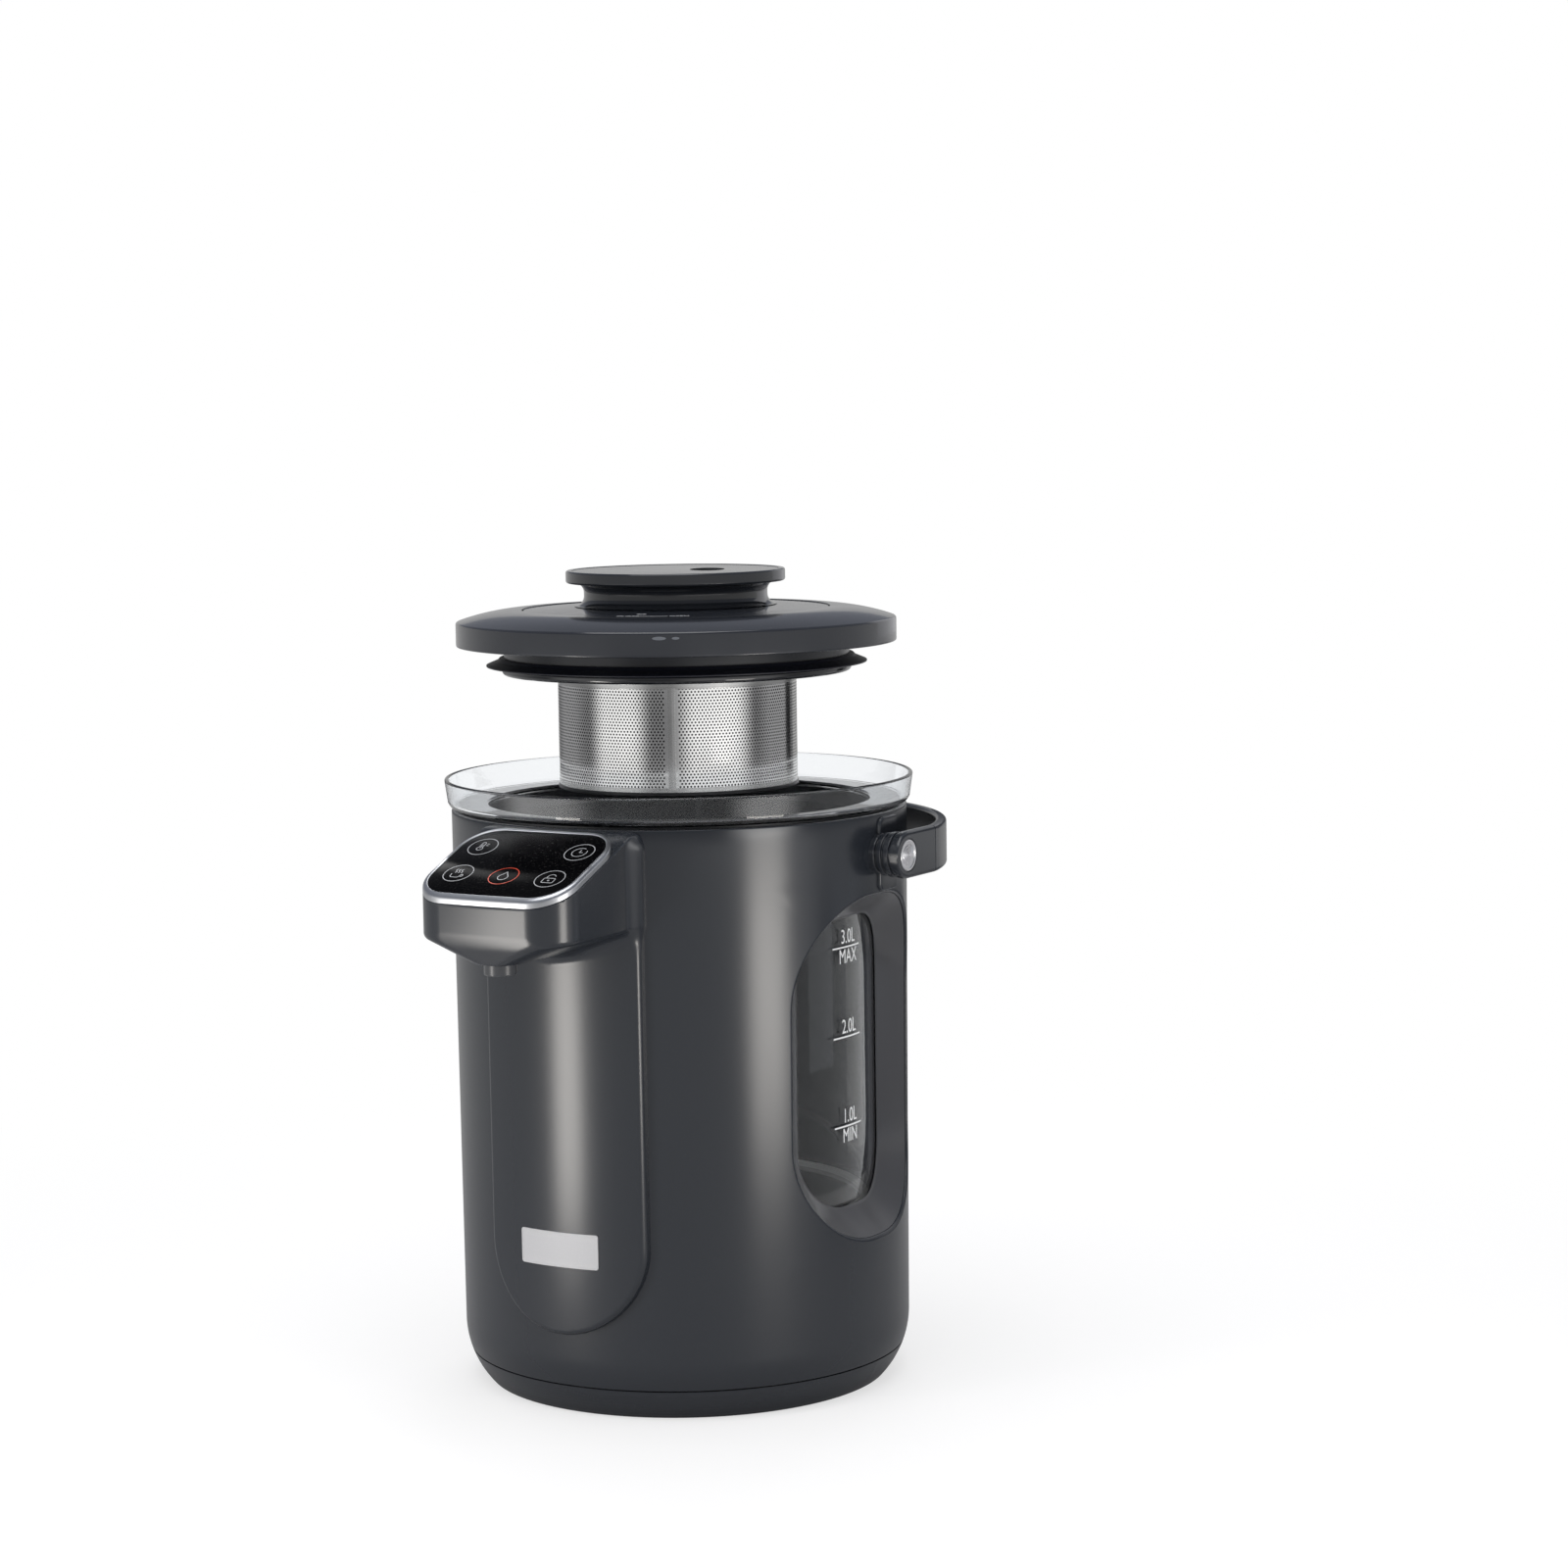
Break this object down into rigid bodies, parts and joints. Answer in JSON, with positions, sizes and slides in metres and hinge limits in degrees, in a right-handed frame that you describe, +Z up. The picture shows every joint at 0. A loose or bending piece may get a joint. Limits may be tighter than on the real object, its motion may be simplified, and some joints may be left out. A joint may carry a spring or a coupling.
{
  "type": "water dispenser",
  "caption": "Countertop hot water dispenser: clear tank in a dark housing with a touch-panel spout, folding bail handle, and a lift-out lid carrying a perforated infuser basket.",
  "frame": {"origin": "centre of the flat underside, on the body's axis at the table", "axes": "+Z up along the body's axis, spout towards -Y, window towards +X"},
  "size_m": [0.2452, 0.2909, 0.3807],
  "materials": {
    "body_plastic": "satin, fine grain",
    "bezel_plastic": "satin",
    "nozzle_plastic": "satin",
    "inner_plastic": "plain moulded",
    "socket_black": "fine matt",
    "pad_rubber": "matt",
    "seal_black": "soft sheen",
    "silicone_white": "translucent silicone",
    "screw_steel": "plain",
    "trim_silver": "satin chrome",
    "cap_silver": "turned, satin",
    "badge_silver": "blank, brushed",
    "panel_black": "high gloss",
    "clear_tank": "clear, glossy",
    "lid_gloss": "gloss",
    "lid_plate_gloss": "gloss",
    "lid_plug": "satin",
    "knob_gloss": "high gloss",
    "steel_mesh": "perforated sheet",
    "steel_brushed": "brushed",
    "steel_polished": "polished",
    "infuser_trim": "satin",
    "circuit_board": "solder mask",
    "component_orange": "moulded",
    "spring_brass": "plain",
    "ceramic_white": "ceramic",
    "pump_plastic": "moulded",
    "ribbon_grey": "flat cable"
  },
  "bodies": {
    "root": {"outer_housing": "body_plastic", "base_cover": "body_plastic", "foot_pads": "pad_rubber", "base_screws": "screw_steel", "column_cover": "body_plastic", "head_tray": "body_plastic", "spout_nozzle": "nozzle_plastic", "panel_rim": "trim_silver", "touch_glass": "panel_black", "touch_board": "circuit_board", "touch_springs": "spring_brass", "badge_plate": "badge_silver", "window_bezel": "bezel_plastic", "glass_tank": "clear_tank", "collar_gasket": "seal_black", "top_ring": "inner_plastic", "tank_cradle": "inner_plastic", "plate_seal": "silicone_white", "heating_plate": "steel_polished", "heating_element": "steel_brushed", "thermostat": "inner_plastic", "thermal_fuse": "ceramic_white", "pump_body": "pump_plastic", "pump_motor": "steel_polished", "pump_mount": "pad_rubber", "inlet_hose": "silicone_white", "outlet_hose": "silicone_white", "riser_tube": "steel_polished", "spout_tube": "silicone_white", "power_board": "circuit_board", "board_parts": "component_orange", "power_inlet": "socket_black", "inlet_pins": "screw_steel", "signal_ribbon": "ribbon_grey", "pivot_boss_right": "body_plastic", "pivot_boss_left": "body_plastic", "pivot_pin_right": "screw_steel", "pivot_pin_left": "screw_steel", "pivot_nuts": "screw_steel"},
    "handle": {"handle_bail": "body_plastic", "handle_cap_right": "cap_silver", "handle_cap_left": "cap_silver"},
    "lid": {"lid_shell": "lid_gloss", "lid_base": "lid_plug", "lid_seal": "seal_black", "lid_plate": "lid_plate_gloss", "lid_screws": "screw_steel"},
    "plug": {"lid_disc": "lid_gloss", "sleeve_clip": "inner_plastic", "knob_grip": "knob_gloss", "knob_cap": "knob_gloss", "infuser_socket": "lid_plug"},
    "infuser": {"infuser_collar": "steel_brushed", "infuser_basket": "steel_mesh", "infuser_foot": "infuser_trim"}
  },
  "joints": [
    {"name": "lid_lift", "type": "slide", "parent": "root", "child": "lid", "axis": [0, 0, 1], "range_m": [-0.073, 0.06]},
    {"name": "disc_turn", "type": "hinge", "parent": "lid", "child": "plug", "pos_m": [0, 0, 0.355], "axis": [0, 0, 1], "range_deg": [0, 35]},
    {"name": "infuser_twist", "type": "hinge", "parent": "plug", "child": "infuser", "pos_m": [0, 0, 0.333], "axis": [0, 0, 1], "range_deg": [0, 60]},
    {"name": "handle_swing", "type": "hinge", "parent": "root", "child": "handle", "pos_m": [0, 0, 0.2517], "axis": [1, 0, 0], "range_deg": [0, 35]}
  ]
}
